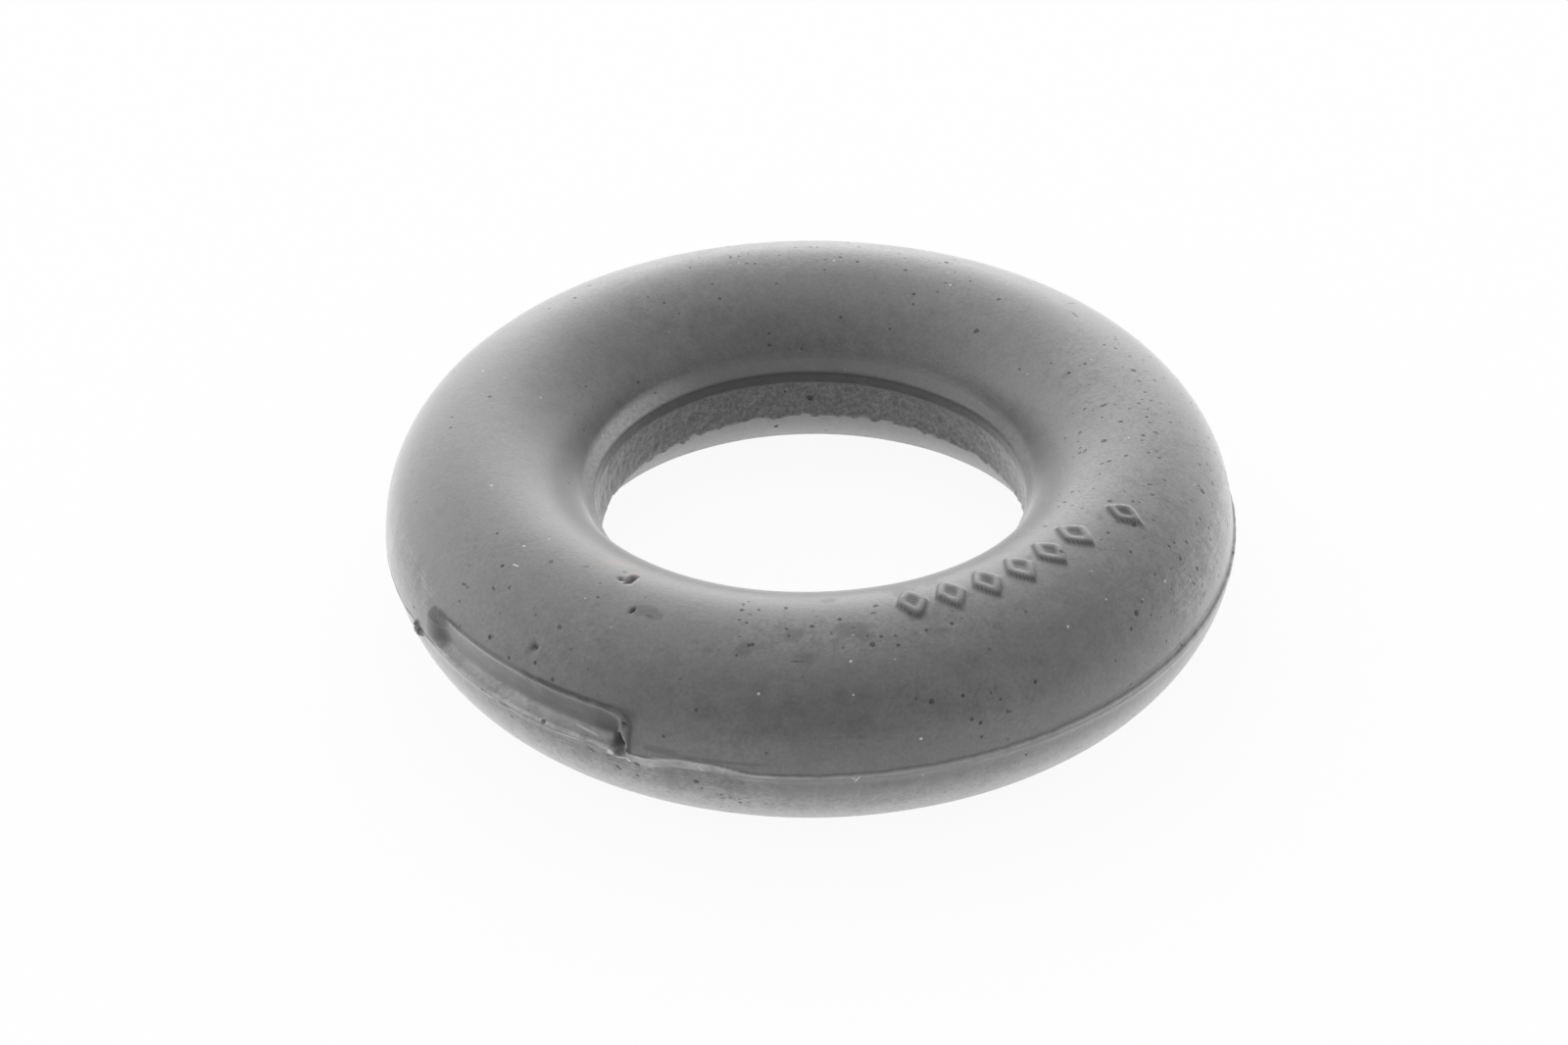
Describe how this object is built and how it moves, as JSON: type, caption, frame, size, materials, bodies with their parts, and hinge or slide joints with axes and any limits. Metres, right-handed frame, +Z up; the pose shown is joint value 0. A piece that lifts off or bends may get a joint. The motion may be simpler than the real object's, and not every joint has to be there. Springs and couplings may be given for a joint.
{
  "type": "exhaust hanger rubber",
  "caption": "Plain round rubber ring of near-circular section that slings an exhaust pipe between two hooks passed through its bore.",
  "frame": {"origin": "on the ring's axis, in the plane of the flat land that the ring rests on", "axes": "+Z up along the ring's axis through the bore; +X to the right and +Y away from the viewer in the picture"},
  "size_m": [0.0624, 0.0624, 0.0157],
  "materials": {
    "rubber": "dark grey moulded rubber, satin, lightly scuffed and dusty"
  },
  "bodies": {
    "root": {"hanger_ring": "rubber"}
  },
  "joints": []
}
